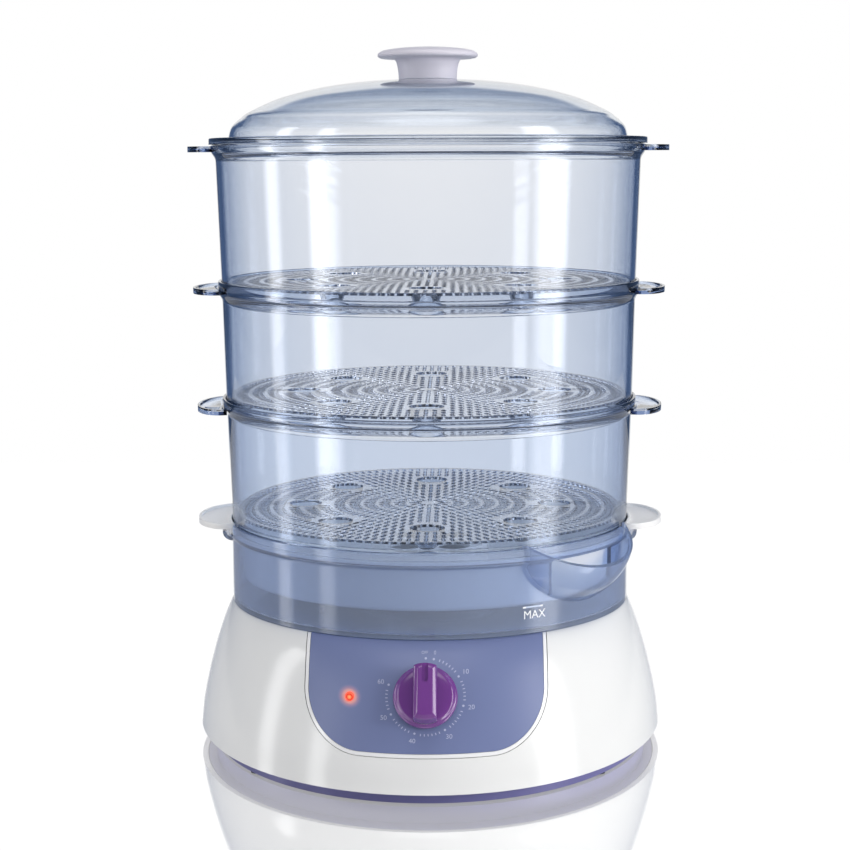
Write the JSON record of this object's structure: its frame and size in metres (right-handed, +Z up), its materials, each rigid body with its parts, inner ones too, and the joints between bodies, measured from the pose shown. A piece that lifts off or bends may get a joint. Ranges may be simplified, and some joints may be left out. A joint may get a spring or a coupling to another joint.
{
  "type": "electric food steamer",
  "caption": "Three stacked clear steaming baskets with removable perforated floors and a domed lid, on a heated water tank base with a rotary timer.",
  "frame": {"origin": "centre of the footprint on the floor, on the axis of the tank and the baskets", "axes": "+Z up, -Y towards the control panel, +X to the right seen from the front"},
  "size_m": [0.2786, 0.3248, 0.4019],
  "materials": {
    "white_shell": "glossy moulded plastic",
    "white_trim": "glossy",
    "violet_panel": "satin",
    "violet_base": "satin",
    "purple_knob": "glossy",
    "lilac_knob": "glossy",
    "white_tray": "glossy",
    "blue_tank": "translucent, tinted",
    "clear_basket": "clear, tinted",
    "clear_plate": "clear, tinted",
    "red_lens": "glowing lens",
    "lamp_glass": "clear glass",
    "nylon": "matt",
    "plated_steel": "zinc plated",
    "heater_steel": "satin",
    "rubber_feet": "matt",
    "silicone": "matt",
    "lead_sleeve": "matt"
  },
  "bodies": {
    "base": {"housing": "white_shell", "panel_bezel": "white_trim", "control_panel": "violet_panel", "timer_bracket": "plated_steel", "timer_body": "nylon", "timer_bell": "plated_steel", "timer_screws": "plated_steel", "indicator_lens": "red_lens", "lamp_holder": "nylon", "neon_lamp": "lamp_glass", "bottom_cover": "violet_base", "foot_ring": "violet_base", "rubber_feet": "rubber_feet", "cover_screws": "plated_steel", "cord_gland": "rubber_feet", "water_tank": "blue_tank", "tank_screws": "plated_steel", "heater_seal": "silicone", "heater_plate": "heater_steel", "heating_element": "heater_steel", "clamp_ring": "plated_steel", "clamp_nuts": "plated_steel", "thermostat": "nylon", "thermal_fuse": "lamp_glass", "terminal_block": "nylon", "lead_element": "lead_sleeve"},
    "timer": {"timer_knob": "purple_knob", "timer_shaft": "plated_steel"},
    "drip_tray": {"drip_tray": "white_tray"},
    "basket_1": {"basket_1": "clear_basket"},
    "plate_1": {"plate_1": "clear_plate"},
    "basket_2": {"basket_2": "clear_basket"},
    "plate_2": {"plate_2": "clear_plate"},
    "basket_3": {"basket_3": "clear_basket"},
    "plate_3": {"plate_3": "clear_plate"},
    "lid": {"lid": "clear_basket", "lid_knob": "lilac_knob"}
  },
  "joints": [
    {"name": "tray_lift", "type": "slide", "parent": "base", "child": "drip_tray", "axis": [0, 0, 1], "range_m": [0, 0.06]},
    {"name": "basket_1_lift", "type": "slide", "parent": "drip_tray", "child": "basket_1", "axis": [0, 0, 1], "range_m": [0, 0.06]},
    {"name": "plate_1_lift", "type": "slide", "parent": "basket_1", "child": "plate_1", "axis": [0, 0, 1], "range_m": [0, 0.09]},
    {"name": "basket_2_lift", "type": "slide", "parent": "plate_1", "child": "basket_2", "axis": [0, 0, 1], "range_m": [0, 0.06]},
    {"name": "plate_2_lift", "type": "slide", "parent": "basket_2", "child": "plate_2", "axis": [0, 0, 1], "range_m": [0, 0.09]},
    {"name": "basket_3_lift", "type": "slide", "parent": "plate_2", "child": "basket_3", "axis": [0, 0, 1], "range_m": [0, 0.06]},
    {"name": "plate_3_lift", "type": "slide", "parent": "basket_3", "child": "plate_3", "axis": [0, 0, 1], "range_m": [0, 0.1]},
    {"name": "lid_lift", "type": "slide", "parent": "plate_3", "child": "lid", "axis": [0, 0, 1], "range_m": [0, 0.06]},
    {"name": "timer_turn", "type": "hinge", "parent": "base", "child": "timer", "pos_m": [0, -0.14169, 0.0568], "axis": [0, -0.858, 0.5137], "range_deg": [-288, 0]}
  ]
}
